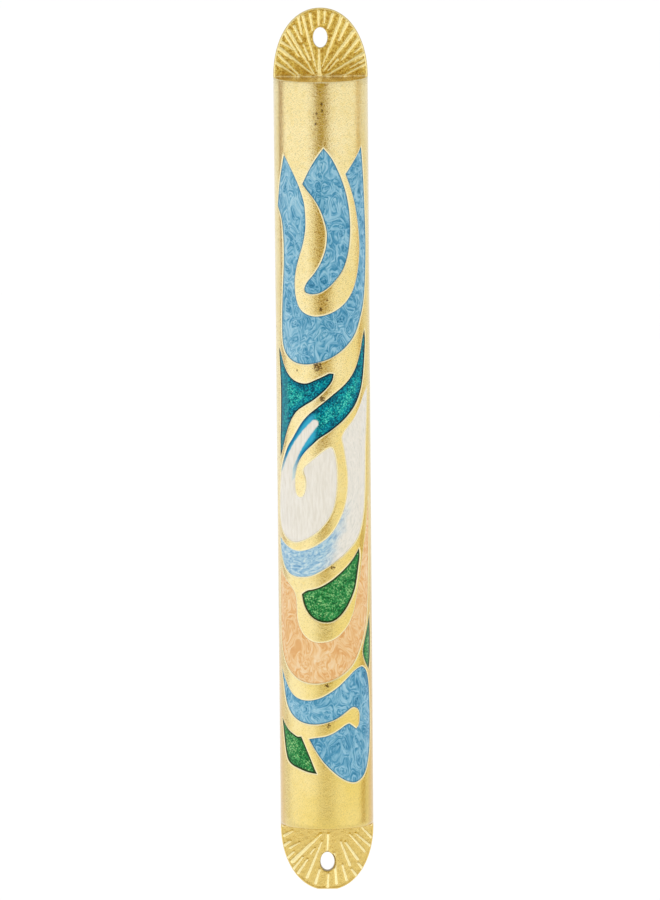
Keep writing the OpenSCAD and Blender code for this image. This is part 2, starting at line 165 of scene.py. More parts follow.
BOTTOM_RAYS = [
    (-1.4, 2.2, -7.5, 8.1, 0.24, 0.5), (-1.2, 3.9, -4.4, 11.6, 0.16, 0.34), (0.2, 2.2, 0, 5.8, 0.26, 0.16),
    (-5.3, 7.2, -7.3, 9.7, 0.18, 0.3), (-4.3, 7.7, -6.3, 10.6, 0.16, 0.32),
    (-1.7, 10, -2.6, 12.9, 0.22, 0.32), (0.2, 11, 0, 13.7, 0.18, 0.26), (1.5, 6.4, 1.9, 13, 0.2, 0.3),
    (-2.7, 5.3, -3.6, 6.4, 0.14, 0.2), (-7.2, 6, -8.5, 7.2, 0.18, 0.3), (-8, 3.7, -9.2, 4.5, 0.22, 0.32),
    (-7.5, 1.4, -9.2, 2.4, 0.2, 0.34), (-6, 4, -8, 5.1, 0.14, 0.26), (2.9, 3.9, 4.8, 9, 0.18, 0.3),
    (3.9, 4, 6.5, 7.7, 0.22, 0.32), (3.2, 9, 4.1, 12.2, 0.18, 0.3), (4.8, 2.2, 8, 6, 0.16, 0.26),
    (6.2, 2.1, 9.1, 4.7, 0.16, 0.28), (7.5, 0.8, 9.4, 2.9, 0.16, 0.28), (5.2, 10, 6.2, 11.3, 0.2, 0.32),
    (6.6, 8.6, 7.7, 10, 0.2, 0.32),
]


# ---- flat outlines
def curve_points(run, step_count=24):
    """Catmull-Rom curve through a run of points, both ends included"""
    p = np.array(run, float).reshape(-1, 2)
    t = np.linspace(0, 1, step_count, endpoint=False)[:, None]
    parts = []
    for k in range(len(p) - 1):
        a, b, c, d = p[max(k - 1, 0)], p[k], p[k + 1], p[min(k + 2, len(p) - 1)]
        parts.append(0.5 * (2 * b + (c - a) * t + (2 * a - 5 * b + 4 * c - d) * t * t
                            + (3 * b - a - 3 * c + d) * t ** 3))
    return np.concatenate(parts + [p[-1:]])


def even_outline(runs, spacing):
    """Closed outline with evenly spaced points that keeps its corners, anticlockwise"""
    parts = []
    for i, run in enumerate(runs):
        line = curve_points(run + runs[(i + 1) % len(runs)][:2])
        along = np.concatenate([[0], np.cumsum(np.hypot(*np.diff(line, axis=0).T))])
        count = max(2, round(along[-1] / spacing))
        at = np.linspace(0, along[-1], count, endpoint=False)
        parts.append(np.stack([np.interp(at, along, line[:, 0]), np.interp(at, along, line[:, 1])], 1))
    points = np.concatenate(parts)
    x, y = points.T
    area = np.sum(x * np.roll(y, -1) - np.roll(x, -1) * y)
    return points if area > 0 else points[::-1]


def outward(points):
    """Unit normals of an anticlockwise outline"""
    edge = np.roll(points, -1, 0) - np.roll(points, 1, 0)
    normal = np.stack([edge[:, 1], -edge[:, 0]], 1)
    return normal / np.linalg.norm(normal, axis=1)[:, None]


def inside(points, outline):
    """Which of the points an outline holds"""
    x, y = points.T
    odd = np.zeros(len(points), bool)
    for (x0, y0), (x1, y1) in zip(outline, np.roll(outline, -1, 0)):
        if y0 == y1:
            continue
        crosses = (y0 > y) != (y1 > y)
        odd ^= crosses & (x < (x1 - x0) * (y - y0) / (y1 - y0) + x0)
    return odd


def tree_of(points):
    tree = KDTree(len(points))
    for i, (x, y) in enumerate(points):
        tree.insert((x, y, 0), i)
    tree.balance()
    return tree


def distances(tree, points):
    return np.array([tree.find((x, y, 0))[2] for x, y in points])


def staggered(x0, x1, y0, y1, dx, dy):
    """Grid whose every other row is shifted by half a step"""
    points = []
    for k, y in enumerate(np.linspace(y0, y1, round((y1 - y0) / dy) + 1)):
        xs = np.arange(x0 + (k % 2) * dx / 2, x1 + 1e-6, dx)
        points.append(np.stack([xs, np.full(len(xs), y)], 1))
    return np.concatenate(points)


def grid_within(outline, dx, dy):
    (x0, y0), (x1, y1) = outline.min(0), outline.max(0)
    grid = staggered(x0, x1, y0, y1, dx, dy)
    return grid[inside(grid, outline)]


def lattice(xs, ys):
    return np.stack(np.meshgrid(xs, ys), -1).reshape(-1, 2)


def circle(count):
    """Angles of evenly spaced points once round"""
    return np.linspace(0, 2 * pi, count + 1)[:-1]


def triangulate(points, loops):
    """Delaunay triangles through the points, with the loops kept as edges. Returns the points, the
    triangles, for each point its number in the input, and for each triangle whether a loop holds it."""
    out = delaunay_2d_cdt([Vector(p) for p in points], [], loops, 0, 1e-5)
    flat = np.array([tuple(v) for v in out[0]])
    return flat, out[2], [ids[0] if ids else -1 for ids in out[3]], [bool(ids) for ids in out[5]]


def filled(points):
    """Triangles inside the outline that is the first of the sets of points. Returns the points, the
    triangles and the numbers of the outline's points."""
    count = len(points[0])
    flat, tris, source, inner = triangulate(np.concatenate(points), [list(range(count))])
    index = {s: i for i, s in enumerate(source) if 0 <= s < count}
    return flat, [t for t, ok in zip(tris, inner) if ok], [index[k] for k in range(count)]


def smoothstep(x):
    x = np.clip(x, 0, 1)
    return x * x * (3 - 2 * x)


# ---- meshes and solids
def add_object(name, data):
    obj = bpy.data.objects.new(name, data)
    bpy.context.scene.collection.objects.link(obj)
    return obj


def finish_shading(mesh, smooth_deg):
    mesh.shade_smooth()
    mesh.set_sharp_from_angle(angle=radians(smooth_deg))


def mesh_object(name, verts, faces, smooth_deg=35):
    """Object from points in millimetres"""
    mesh = bpy.data.meshes.new(name)
    mesh.from_pydata((np.asarray(verts, float) * MM).tolist(), [], faces)
    mesh.update()
    finish_shading(mesh, smooth_deg)
    return add_object(name, mesh)


def store_edges(mesh, edge):
    """Keeps each point's distance to the nearest edge of a cell, for the materials"""
    mesh.attributes.new("edge_mm", "FLOAT", "POINT").data.foreach_set("value", edge.astype(np.float32))


def loft(name, rings, smooth_deg=35):
    """Closed skin over rings of equal length"""
    n, last = len(rings[0]), (len(rings) - 1) * len(rings[0])
    faces = [(k + i, k + (i + 1) % n, k + n + (i + 1) % n, k + n + i)
             for k in range(0, last, n) for i in range(n)]
    faces += [tuple(reversed(range(n))), tuple(range(last, last + n))]
    return mesh_object(name, [p for ring in rings for p in ring], faces, smooth_deg)


def solve(target, tools, operation):
    """Applies a boolean of the tools to the target and removes the tools"""
    for tool in tools:
        mod = target.modifiers.new("cut", "BOOLEAN")
        mod.operation, mod.solver, mod.object = operation, "MANIFOLD", tool
    graph = bpy.context.evaluated_depsgraph_get()
    result = bpy.data.meshes.new_from_object(target.evaluated_get(graph))
    result.materials.clear()
    target.modifiers.clear()
    old = target.data
    target.data = result
    bpy.data.meshes.remove(old)
    for tool in tools:
        bpy.data.objects.remove(tool)


# ---- the arched body
END_ROUND, END_DRAFT, BACK_ROUND = {1: 0.4, -1: 1.3}, 0.7, 0.4
EDGE_ROUND, EDGE_W = 0.12, 0.34
Z_PLAIN = {end: BODY_Z - END_ROUND[end] for end in (1, -1)}
S_SIDE = ARCH_S + SIDE_D - BACK_ROUND
S_MAX = S_SIDE + BACK_ROUND * pi / 2


def arch_point(s, v, lift):
    """Place in space of a point of the unrolled body: s round the section from the crown, v along the
    case with both rounded ends unrolled, lift outwards from the plain arch"""
    side = np.sign(s)
    a = np.abs(s)
    angle = np.clip(a, 0, ARCH_S) / ARCH_R
    turn = np.clip((a - S_SIDE) / BACK_ROUND, 0, pi / 2)
    back = np.clip(a - ARCH_S, 0, S_SIDE - ARCH_S)
    end = np.where(v > 0, 1, -1)
    full = np.where(v > 0, END_ROUND[1], END_ROUND[-1])
    plain = BODY_Z - full
    bend = np.clip((np.abs(v) - plain) / full, 0, pi / 2)
    small = 0.03 + (full - 0.03) * smoothstep((ARCH_S + 0.6 - a) / 2.4)
    z = np.where(bend > 0, BODY_Z - small * (1 - np.sin(bend)) - (full - small) * (1 - bend / (pi / 2)),
                 np.abs(v))
    z = (z - END_DRAFT * np.cos(angle) * np.clip((np.abs(v) - plain + 4) / 4, 0, 1)) * end
    out = lift - small * (1 - np.cos(bend))
    nx = np.where(a <= S_SIDE, np.sin(angle), np.cos(turn))
    ny = np.where(a <= S_SIDE, -np.cos(angle), np.sin(turn))
    x = ARCH_R * np.sin(angle) - BACK_ROUND * (1 - np.cos(turn)) + out * nx
    y = -SIDE_D - ARCH_R * np.cos(angle) + back + BACK_ROUND * np.sin(turn) + out * ny
    return np.stack([side * x, y, z], -1)


def body_mesh(outlines, edge_tree):
    """Points and faces of the solid arched body with its sunk cells"""
    cells_lo = min(o[:, 1].min() for o in outlines) - 1.2
    cells_hi = max(o[:, 1].max() for o in outlines) + 1.2
    arch_cols = np.linspace(-ARCH_S, ARCH_S, 65)
    side_cols = np.concatenate([ARCH_S + np.array([0.5, 1, 1.5]),
                                S_SIDE + BACK_ROUND * np.radians([0, 22.5, 45, 67.5, 90])])
    cols = np.concatenate([-side_cols[::-1], arch_cols, side_cols])
    bends = np.radians([0, 18, 36, 54, 72, 90])
    upper, lower = [end * np.concatenate([np.linspace(start, Z_PLAIN[end], count)[:-1],
                                          Z_PLAIN[end] + END_ROUND[end] * bends])
                    for end, start, count in ((1, cells_hi, 9), (-1, -cells_lo, 7))]
    rows = np.concatenate([lower[::-1], np.linspace(cells_lo, cells_hi, 120)[1:-1], upper])

    mid_rows = rows[(rows > cells_lo + 1e-6) & (rows < cells_hi - 1e-6)]
    plain = [lattice(cols, np.concatenate([lower, upper])),
             lattice(np.concatenate([-side_cols, side_cols, [-ARCH_S, ARCH_S]]), mid_rows)]
    ds = arch_cols[1] - arch_cols[0]
    grid = staggered(-ARCH_S + ds, ARCH_S - ds, cells_lo + 0.5, cells_hi - 0.5, ds, 0.58)
    grid = grid[~np.any([inside(grid, outline) for outline in outlines], 0)]
    plain.append(grid[distances(edge_tree, grid) > EDGE_W + 0.16])
    for step in (0.09, 0.2, EDGE_W):
        ring = np.concatenate([o + outward(o) * step for o in outlines])
        plain.append(ring[distances(edge_tree, ring) > step * 0.96])
    for outline in outlines:
        floor = grid_within(outline, 1.2, 1.3)
        if len(floor):
            plain.append(floor[distances(edge_tree, floor) > 0.4])

    ends = np.cumsum([len(outline) for outline in outlines]).tolist()
    loops = [list(range(start, end)) for start, end in zip([0] + ends, ends)]
    flat, tris, source, sunk = triangulate(np.concatenate(outlines + plain), loops)
    on_rim = np.array([0 <= i < ends[-1] for i in source])
    sunk_only = np.zeros(len(flat), bool)
    sunk_only[[i for tri, low in zip(tris, sunk) if low for i in tri]] = True
    sunk_only &= ~on_rim

    near = distances(edge_tree, flat)
    near[on_rim] = 0
    lift = -EDGE_ROUND * np.clip(1 - near / EDGE_W, 0, 1) ** 2
    lift[sunk_only] = -CELL_DEPTH
    top = arch_point(flat[:, 0], flat[:, 1], lift)
    # every cell has its own copy of the points on its rim, down at its floor
    extra = np.nonzero(on_rim)[0].tolist()
    floor_of = {i: len(flat) + k for k, i in enumerate(extra)}
    deep = arch_point(flat[extra, 0], flat[extra, 1], np.full(len(extra), -CELL_DEPTH))
    verts = np.concatenate([top, deep])
    faces = [tuple(floor_of.get(i, i) for i in tri) if low else tuple(tri) for tri, low in zip(tris, sunk)]
    pairs = [(pair, low) for tri, low in zip(tris, sunk) for pair in zip(tri, list(tri[1:]) + [tri[0]])]
    upper_pairs = {pair for pair, low in pairs if not low}
    faces += [(i, j, floor_of[j], floor_of[i]) for (i, j), low in pairs if low and (j, i) in upper_pairs]

    def border(column, value):
        """Numbers of the points on one border of the unrolled body, in order along it"""
        ids = np.nonzero(np.abs(flat[:, column] - value) < 1e-4)[0]
        return ids[np.argsort(flat[ids, 1 - column], kind="stable")].tolist()

    left, right = border(0, -S_MAX), border(0, S_MAX)
    faces += [(d, c, a, b) for a, b, c, d in zip(left, left[1:], right, right[1:])]
    for end in (1, -1):
        ids = border(1, end * (Z_PLAIN[end] + END_ROUND[end] * pi / 2))
        centre = len(verts)
        verts = np.concatenate([verts, [[0, -SIDE_D - 2, end * (BODY_Z - 0.2 * END_DRAFT)]]])
        for a, b in zip(ids, ids[1:] + ids[:1]):
            faces.append((centre, a, b) if end > 0 else (centre, b, a))
    return verts, faces


# ---- the end tabs
TAB_R = ARCH_R - 0.015
FULLNESS, ARC_POINTS, BURIED = 2.1, 181, 1.0


def tab_arc(count, filed):
    """Points of the half oval from its right end over the tip. It is a little fuller than an ellipse,
    and its tip is filed flat."""
    phi = np.linspace(0, pi, count)
    c, h = np.cos(phi), np.sin(phi)
    size = (np.abs(c) ** FULLNESS + h ** FULLNESS) ** (-1 / FULLNESS)
    return np.stack([TAB_R * c * size, np.minimum(TAB_H * h * size, TAB_H - filed)], 1)


def eased(radius, depth):
    """Drop of a quarter-round edge at a depth in from the edge"""
    return radius - np.sqrt(np.clip(radius ** 2 - np.clip(radius - depth, 0, radius) ** 2, 0, None))


def tab_front(x, t, edge, rays, fillet, rough, rim):
    """How far the front of a tab stands out from the back plane, at x and t up from the root"""
    relief = np.zeros(len(x))
    for x0, t0, x1, t1, w0, w1 in rays:
        length = hypot(x1 - x0, t1 - t0)
        ux, ut = (x1 - x0) / length, (t1 - t0) / length
        along = np.clip(((x - x0) * ux + (t - t0) * ut) / length, 0, 1)
        off = np.hypot(x - x0 - along * length * ux, t - t0 - along * length * ut)
        width = w0 + (w1 - w0) * along + 0.18
        crest = np.clip(1 - off / width, 0, 1)
        relief = np.maximum(relief, crest * RIDGE_H * (0.4 + 0.5 * width / 0.8))
    relief = np.maximum(relief, rim * smoothstep((0.6 - edge) / 0.3))
    uneven = sum(np.sin(a * x + b * t + c) for a, b, c in ((4.1, 1.3, 1), (-2.7, 3.9, 2), (1.7, 5.3, 4)))
    relief += (rough * uneven + 0.04 * (rng.random(len(x)) - 0.5)) * smoothstep((edge - 0.3) / 0.3)
    return TAB_T + relief - eased(0.32, edge) + eased(fillet, np.clip(t, 0, None)) * smoothstep(edge / 0.8)


def tab_object(name, end, rays, fillet, rough, rim, filed):
    """Half-oval plate with a rounded rim and raised rays, whose root is buried in the body"""
    arc = tab_arc(ARC_POINTS, filed)
    base = [(x, -BURIED) for x in np.linspace(-TAB_R, TAB_R, 60)]
    outline = np.concatenate([arc, [(-TAB_R, -BURIED / 2)], base, [(TAB_R, -BURIED / 2)]])
    walls = [(side * TAB_R, -k * 0.05) for side in (-1, 1) for k in range(1, 21)]
    tree = tree_of(np.concatenate([tab_arc(1401, filed), walls]))
    points = [outline]
    n = outward(arc)
    n[0], n[-1] = (1, 0), (-1, 0)
    for step in (0.03, 0.1, 0.2, 0.32):
        ring = arc - n * step
        points.append(ring[ring[:, 1] >= 0])
    grid = staggered(-TAB_R + 0.2, TAB_R - 0.2, -BURIED + 0.15, TAB_H - 0.2, 0.14, 0.125)
    grid = grid[inside(grid, outline)]
    points.append(grid[distances(tree, grid) > 0.42])
    flat, tris, ring = filled(points)
    edge = distances(tree, flat)
    edge[ring[:ARC_POINTS]] = 0
    front = tab_front(flat[:, 0], flat[:, 1], edge, rays, fillet, rough, rim)
    z = end * (BODY_Z + flat[:, 1])
    verts = [(x, -f, zz) for (x, _), f, zz in zip(flat, front, z)] + [(flat[i, 0], 0.0, z[i]) for i in ring]
    # seen from the front the outline runs anticlockwise when the tab points up
    back = range(len(flat), len(verts))
    faces = [tuple(t) for t in tris]
    faces += [(a, c, d, b) for a, b, c, d in zip(ring, ring[1:] + ring[:1], back, [*back[1:], back[0]])]
    faces.append(tuple(reversed(back)))
    return mesh_object(name, verts, faces if end > 0 else [tuple(reversed(f)) for f in faces])


def prism(name, section, z0, z1):
    """section: points as seen from above, anticlockwise"""
    return loft(name, [[(x, y, z) for x, y in section] for z in (z0, z1)])


SLOT_D, SLOT_EASE = 1.25, 0.14


def slot_half(y):
    """Half-width of the dovetail slot at depth y, with its back edges eased"""
    return 6.3 - (SLOT_D + y) / 2 + 0.22 * max(0, 1 + y / SLOT_EASE)


def screw_cutter(name, z):
    """Upright oval hole with eased edges at both faces"""
    rings = []
    for y, ease in [(0.3, 0.3), (0, 0.18), (-0.16, 0), (-1.6, 0), (-1.85, 0.05), (-2.02, 0.14),
                    (-2.12, 0.28), (-2.3, 0.4), (-3.6, 0.5)]:
        rings.append([((HOLE_R + ease) * cos(a), y, z + (HOLE_H / 2 + ease) * sin(a))
                      for a in circle(48)])
    return loft(name, rings)


def mark_edges(mesh, edge_tree):
    """Finds the distances to the nearest cell, which count on the face of the arch only"""
    co = np.zeros(len(mesh.vertices) * 3)
    mesh.vertices.foreach_get("co", co)
    x, y, z = co.reshape(-1, 3).T / MM
    s = ARCH_R * np.arctan2(x, -(y + SIDE_D))
    radius = np.hypot(x, y + SIDE_D)
    edge = np.full(len(x), 9.0)
    skin = (radius > ARCH_R - 0.3) & (y < -SIDE_D)
    edge[skin] = distances(edge_tree, np.stack([s[skin], z[skin]], 1))
    store_edges(mesh, edge)


def build_shell(outlines, edge_tree):
    """Casting: body and tabs, less the chamber, the cover's slot and the screw holes"""
    shell = mesh_object("case_front", *body_mesh(outlines, edge_tree))
    tabs = [tab_object("tab_top", 1, TOP_RAYS, fillet=0.25, rough=0.012, rim=0.24, filed=0),
            tab_object("tab_bottom", -1, BOTTOM_RAYS, fillet=1, rough=0.006, rim=0.06, filed=0.25)]
    solve(shell, tabs, "UNION")
    start = acos((LIP_D - SIDE_D) / CHAMBER_R)
    chamber = [(CHAMBER_R * sin(a), -SIDE_D - CHAMBER_R * cos(a))
               for a in np.linspace(-start, start, 72)]
    slot = [(slot_half(y), y) for y in (-SLOT_D, -SLOT_EASE, 0)] + [(slot_half(0), 0.6)]
    mirror = [(-x, y) for x, y in reversed(slot)]
    mouth = 5.2
    section = (chamber + [(mouth, -LIP_D), (mouth, -SLOT_D)] + slot
               + mirror + [(-mouth, -SLOT_D), (-mouth, -LIP_D)])
    solve(shell, [prism("chamber", section, FLOOR_Z, CHAMBER_TOP),
                  prism("slot", slot + mirror, CHAMBER_TOP - 0.2, BODY_Z + TAB_H + 2),
                  screw_cutter("hole_top", HOLE_Z), screw_cutter("hole_bottom", -HOLE_Z)], "DIFFERENCE")
    finish_shading(shell.data, 38)
    mark_edges(shell.data, edge_tree)
    return shell


# ---- enamel, cover, parchment and sleeve
def build_enamel(name, outline, tree):
    """Filling of one cell, with a raised edge where the enamel crept up the wall"""
    gap = 0.02
    points = [outline - outward(outline) * gap]
    for step in (0.1, 0.24, 0.45):
        ring = outline - outward(outline) * step
        ring = ring[inside(ring, outline)]
        points.append(ring[distances(tree, ring) > step * 0.95])
    grid = grid_within(outline, 0.36, 0.34)
    points.append(grid[distances(tree, grid) > 0.6])
    flat, tris, ring = filled(points)
    edge = distances(tree, flat)
    edge[ring] = 0
    lift = -ENAMEL_DROP + 0.07 * np.exp(-edge / 0.12) + 0.05 * smoothstep(edge / 2.5)
    top = arch_point(flat[:, 0], flat[:, 1], lift)
    low = arch_point(flat[:, 0], flat[:, 1], np.full(len(flat), -CELL_DEPTH + gap))
    n = len(flat)
    faces = [tuple(t) for t in tris] + [tuple(i + n for i in reversed(t)) for t in tris]
    faces += [(j, i, i + n, j + n) for i, j in zip(ring, ring[1:] + ring[:1])]
    obj = mesh_object(name, np.concatenate([top, low]), faces)
    store_edges(obj.data, np.concatenate([edge, edge]))
    return obj


def build_cover():
    """Dovetail plate with eased edges and five thumb grooves near its lower end"""
    outer, inner, half = cover_hi[1], cover_lo[1], cover_hi[0]
    mid, ease = (outer + inner) / 2, 0.1
    narrow = half - (outer - inner) / 2
    section = [(-half + ease, inner), (half - ease, inner), (half - 0.02, inner + ease * 0.8),
               (narrow + 0.02, outer - ease), (narrow - ease, outer)]
    section += [(-x, y) for x, y in reversed(section[2:])]
    rings = []
    for z, shrink in [(cover_lo[2], 0.14), (cover_lo[2] + 0.05, 0.05), (cover_lo[2] + 0.15, 0),
                      (-40, 0), (0, 0), (40, 0),
                      (cover_hi[2] - 0.15, 0), (cover_hi[2] - 0.05, 0.05), (cover_hi[2], 0.14)]:
        rings.append([(x * (1 - shrink / half), mid + (y - mid) * (1 - shrink / (outer - mid)), z)
                      for x, y in section])
    cover = loft("case_cover", rings)
    grip_end, grip_r = -3.5, 0.5
    profile = [(grip_end, 0.02)] + [(grip_end + grip_r * (1 - cos(a)), grip_r * sin(a))
                                    for a in np.radians([20, 45, 70, 90])]
    profile += [(-x, r) for x, r in reversed(profile)]
    grips = [loft(f"grip_{i}", [[(x, r * cos(a), cover_lo[2] + 8 + 2 * i + r * sin(a)) for a in circle(32)]
                                for x, r in profile]) for i in range(5)]
    solve(cover, grips, "DIFFERENCE")
    finish_shading(cover.data, 30)
    return cover


def build_scroll():
    """Sheet wound in eight turns"""
    inner, outer = 1.4, (scroll_hi[0] - scroll_lo[0]) / 2
    cx, cy = (scroll_hi[0] + scroll_lo[0]) / 2, (scroll_hi[1] + scroll_lo[1]) / 2
    turns, thick = 8, 0.16
    a = np.linspace(0, turns * 2 * pi, turns * 56 + 1)
    r = inner + (outer - thick - inner) * a / a[-1]
    verts = [(cx + (q + side) * cos(t), cy + (q + side) * sin(t), z)
             for z in (scroll_lo[2], scroll_hi[2]) for side in (0, thick) for q, t in zip(r, a)]
    n = len(a)
    faces = []
    for i in range(n - 1):
        in0, out0, in1, out1 = i, n + i, 2 * n + i, 3 * n + i
        faces += [(in0, in0 + 1, out0 + 1, out0), (out1, out1 + 1, in1 + 1, in1),
                  (out0, out0 + 1, out1 + 1, out1), (in0 + 1, in0, in1, in1 + 1)]
    faces += [(0, n, 3 * n, 2 * n), (2 * n - 1, n - 1, 3 * n - 1, 4 * n - 1)]
    return mesh_object("parchment_roll", verts, faces, 40)


def build_sleeve():
    """Clear tube, closed at the bottom"""
    outer = (sleeve_hi[0] - sleeve_lo[0]) / 2
    inner = outer - 0.3
    cy = (sleeve_hi[1] + sleeve_lo[1]) / 2
    z0, z1 = sleeve_lo[2], sleeve_hi[2]
    profile = [(inner, z0), (outer - 0.1, z0 + 0.06), (outer, z0 + 0.3), (outer, z1 - 0.12),
               (outer - 0.05, z1), (inner + 0.05, z1), (inner, z1 - 0.12), (inner, z0 + 1.2),
               (inner - 0.2, z0 + 1)]
    rings = [[(r * cos(a), cy + r * sin(a), z) for a in circle(64)] for r, z in profile]
    return loft("parchment_sleeve", rings, 50)


# ---- materials
def rgb(code):
    """Linear colour of a #rrggbb code"""
    values = [c / 255 for c in bytes.fromhex(code[1:])]
    return tuple(v / 12.92 if v <= 0.04045 else ((v + 0.055) / 1.055) ** 2.4 for v in values) + (1,)


class Num:
    """A number in a material, so that a formula can be written as one"""

    def __init__(self, paint, socket):
        self.paint, self.socket = paint, socket

    def op(self, kind, *others):
        node = self.paint.node("Math", kind)
        self.paint.fill(node, self, *others)
        return Num(self.paint, node.outputs[0])

    __add__, __sub__ = partialmethod(op, "ADD"), partialmethod(op, "SUBTRACT")
    __mul__, __truediv__ = partialmethod(op, "MULTIPLY"), partialmethod(op, "DIVIDE")
    __pow__, __abs__ = partialmethod(op, "POWER"), partialmethod(op, "ABSOLUTE")
    __neg__ = partialmethod(op, "MULTIPLY", -1)
    negative, positive = partialmethod(op, "MINIMUM", 0), partialmethod(op, "MAXIMUM", 0)

    def ramp(self, start, end):
        """0 before start, 1 after end, smooth between them; end may be below start"""
        node = self.paint.node("MapRange")
        node.interpolation_type = "SMOOTHSTEP"
        rises = start < end
        self.paint.fill(node, self, min(start, end), max(start, end), float(not rises), float(rises))
        return Num(self.paint, node.outputs[0])


class Paint:
    """One procedural material on a Principled shader. Lengths are in millimetres."""

    def __init__(self, name, **constants):
        self.mat = bpy.data.materials.new(name)
        self.mat.use_nodes = True
        self.tree = self.mat.node_tree
        self.tree.nodes.clear()
        out = self.node("OutputMaterial")
        self.shader = self.node("BsdfPrincipled", **constants)
        self.put(out.inputs["Surface"], self.shader.outputs[0])
        self.place = self.vector("SCALE", self.node("TexCoord").outputs["Object"], Scale=1 / MM)
        self.x, self.y, self.z = self.split(self.place)
        self.s = self.x.op("ARCTAN2", -(self.y + SIDE_D)) * ARCH_R

    def node(self, kind, operation=None, **sockets):
        """New node, with its sockets set by name"""
        node = self.tree.nodes.new("ShaderNode" + kind)
        if operation:
            node.operation = operation
        for key, value in sockets.items():
            self.put(node.inputs[key.replace("_", " ")], value)
        return node

    def put(self, socket, value):
        """Sets a socket to a number or a colour code, or links it"""
        if isinstance(value, Num):
            value = value.socket
        if isinstance(value, bpy.types.NodeSocket):
            self.tree.links.new(value, socket)
        else:
            socket.default_value = rgb(value) if isinstance(value, str) else value

    def fill(self, node, *values):
        for socket, value in zip(node.inputs, values):
            self.put(socket, value)

    def vector(self, kind, *values, **sockets):
        node = self.node("VectorMath", kind, **sockets)
        self.fill(node, *values)
        return node.outputs[0]

    def xyz(self, x, y, z=0):
        node = self.node("CombineXYZ")
        self.fill(node, x, y, z)
        return node.outputs[0]

    def split(self, value, kind="XYZ"):
        node = self.node("Separate" + kind)
        self.fill(node, value)
        return [Num(self, socket) for socket in node.outputs]

    def noise(self, where, scale, detail=2, rough=0.5, output=0):
        """Noise with features of about 1/scale millimetres"""
        node = self.node("TexNoise", Vector=where, Scale=scale, Detail=detail, Roughness=rough)
        return Num(self, node.outputs[output])

    def warp(self, where, scale, reach):
        """The place moved by up to about reach millimetres"""
        shift = self.vector("SUBTRACT", self.noise(where, scale, 1, output="Color"), (0.5, 0.5, 0.5))
        return self.vector("ADD", where, self.vector("SCALE", shift, Scale=2 * reach))

    def flakes(self, where, scale):
        """Random number of each small crystal"""
        return self.split(self.node("TexVoronoi", Vector=where, Scale=scale).outputs["Color"], "Color")[0]

    def whorl(self, where, scale):
        """Place relative to the nearest of many scattered points: across, up, distance, random number"""
        node = self.node("TexVoronoi", Vector=where, Scale=scale)
        node.voronoi_dimensions = "2D"
        dx, dz, _ = self.split(self.vector("SUBTRACT", where, node.outputs["Position"]))
        return dx, dz, (dx ** 2 + dz ** 2) ** 0.5, self.split(node.outputs["Color"], "Color")[0]

    def mix(self, share, a, b, mode="MIX"):
        node = self.node("Mix")
        node.data_type, node.blend_type = "RGBA", mode
        for k, value in ((0, share), (6, a), (7, b)):
            self.put(node.inputs[k], value)
        return node.outputs[2]

    def coat(self, share, colour):
        """Lays a share of another colour over the colour so far"""
        self.colour = self.mix(share, self.colour, colour)

    def shades(self, value, stops):
        """Colour that runs through the stops, given as (place, code)"""
        node = self.node("ValToRGB")
        self.fill(node, value)
        ramp = node.color_ramp
        while len(ramp.elements) < len(stops):
            ramp.elements.new(0.5)
        for element, (at, code) in zip(ramp.elements, stops):
            element.position, element.color = at, rgb(code)
        return node.outputs[0]

    def attribute(self, name):
        node = self.node("Attribute")
        node.attribute_name = name
        return Num(self, node.outputs["Fac"])

    def bump(self, height, depth, strength=1, **under):
        """Relief whose full height is depth millimetres"""
        return self.node("Bump", Strength=strength, Distance=depth * MM, Height=height, **under).outputs[0]

    def finish(self, **sockets):
        for key, value in sockets.items():
            self.put(self.shader.inputs[key.replace("_", " ")], value)
        return self.mat


# Middle of the round tip of the pearl-white finger, round the arch from the crown and up
TIP_S, TIP_Z = -1.9, 7.8

# Small spots of tarnish on the arch: distance round it from the crown, height, and size
TARNISH = [
    (-1.1, 20, 1.3), (-0.2, 13, 0.7), (0.3, -48.5, 0.6), (0.5, -57, 0.6), (1.8, -23, 0.6), (0.2, 75.2, 0.4),
    (0.3, 73.8, 0.35), (-0.9, 73.2, 0.35), (-1.1, 71, 0.35), (-0.3, 32, 0.45), (0.9, 34, 0.35),
    (-5.8, 19, 0.3),
]


